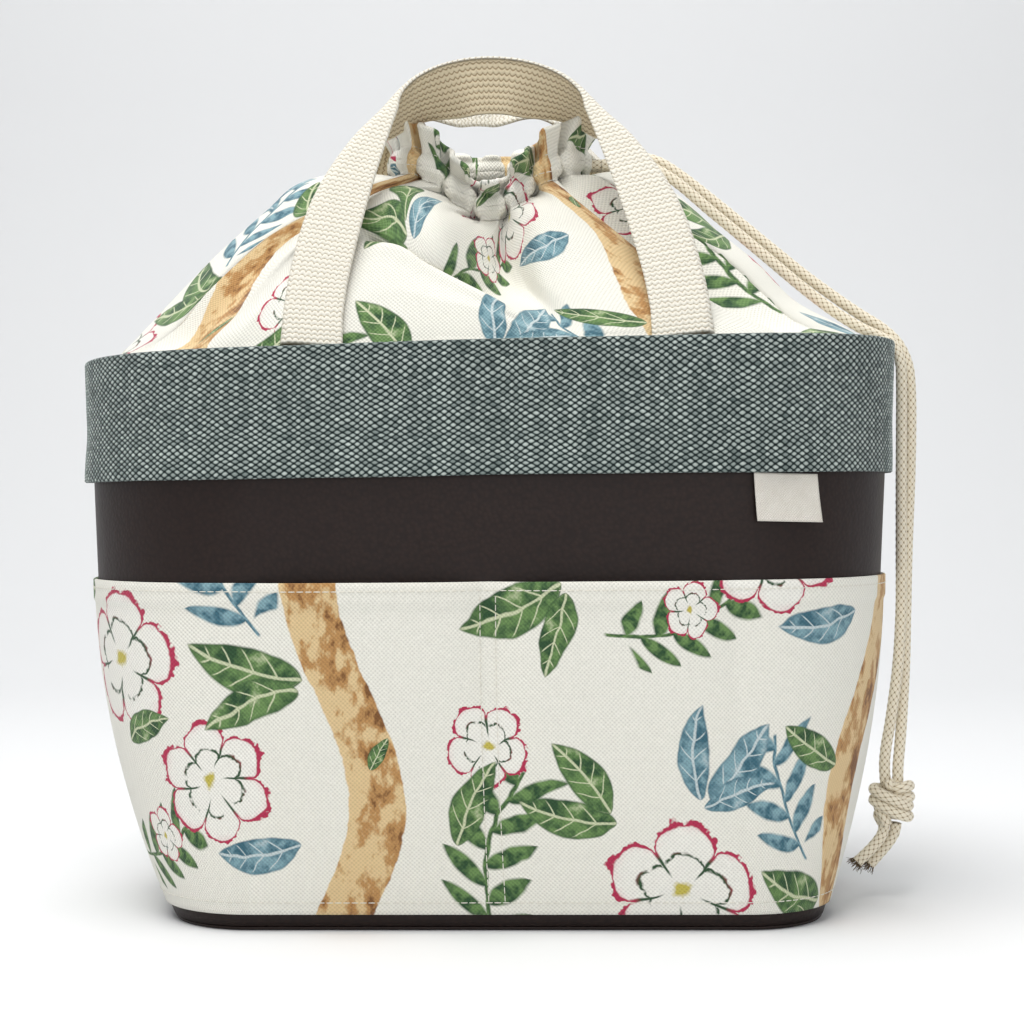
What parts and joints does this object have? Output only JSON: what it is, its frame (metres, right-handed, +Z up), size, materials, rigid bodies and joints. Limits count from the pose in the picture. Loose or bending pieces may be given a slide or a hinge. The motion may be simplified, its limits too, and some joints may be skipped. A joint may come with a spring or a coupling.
{
  "type": "drawstring knitting basket",
  "caption": "Soft sewn basket with a tweed cuff, outside pockets, webbing handles and a gathered drawcord collar that closes over the contents.",
  "frame": {"origin": "middle of the basket's base on the floor", "axes": "+Z up, +X to the right as seen from the front, where the drawcord hangs; the front with the cloth tag faces -Y"},
  "size_m": [0.3747, 0.2116, 0.3953],
  "materials": {
    "faux_leather": "pebbled, satin",
    "board": "stiff fibre board, matte",
    "lining_cloth": "plain cotton, matte",
    "foam": "foam-backed interlining, matte",
    "tweed": "coarse grey-green tweed",
    "printed_canvas": "cotton canvas with a botanical print",
    "webbing": "ribbed cotton webbing",
    "tag_ribbon": "plain cotton tape",
    "braided_cord": "braided cotton cord"
  },
  "bodies": {
    "basket": {"base_panel": "faux_leather", "base_board": "board", "base_lining": "lining_cloth", "front_leather_wall": "faux_leather", "back_leather_wall": "faux_leather", "front_interlining": "foam", "back_interlining": "foam", "front_lining": "lining_cloth", "back_lining": "lining_cloth", "front_cuff": "tweed", "back_cuff": "tweed", "front_pocket": "printed_canvas", "back_pocket": "printed_canvas", "collar_front_panel": "printed_canvas", "collar_back_panel": "printed_canvas", "front_handle_left_end": "webbing", "front_handle_right_end": "webbing", "back_handle_left_end": "webbing", "back_handle_right_end": "webbing", "drawcord_loop": "braided_cord", "drawcord_strand_front": "braided_cord", "drawcord_strand_back": "braided_cord", "drawcord_knot": "braided_cord", "drawcord_tail_front": "braided_cord", "drawcord_tail_back": "braided_cord"},
    "front_handle_fold": {"front_handle_left_fold": "webbing", "front_handle_right_fold": "webbing"},
    "front_handle": {"front_handle": "webbing"},
    "back_handle_fold": {"back_handle_left_fold": "webbing", "back_handle_right_fold": "webbing"},
    "back_handle": {"back_handle": "webbing"},
    "tag": {"cloth_tag": "tag_ribbon"}
  },
  "joints": [
    {"name": "front_handle_seam_fold", "type": "hinge", "parent": "basket", "child": "front_handle_fold", "pos_m": [0, -0.0922, 0.2469], "axis": [1, 0, 0], "range_deg": [0, 115]},
    {"name": "front_handle_swing", "type": "hinge", "parent": "front_handle_fold", "child": "front_handle", "pos_m": [0, -0.08751, 0.25696], "axis": [1, 0, 0], "range_deg": [0, 80]},
    {"name": "back_handle_seam_fold", "type": "hinge", "parent": "basket", "child": "back_handle_fold", "pos_m": [0, 0.0922, 0.2469], "axis": [-1, 0, 0], "range_deg": [-12, 102]},
    {"name": "back_handle_swing", "type": "hinge", "parent": "back_handle_fold", "child": "back_handle", "pos_m": [0, 0.08989, 0.25776], "axis": [-1, 0, 0], "range_deg": [0, 80]},
    {"name": "tag_flap", "type": "hinge", "parent": "basket", "child": "tag", "pos_m": [0.123, -0.09505, 0.1895], "axis": [-0.9457, -0.3251, 0], "range_deg": [0, 85]}
  ]
}
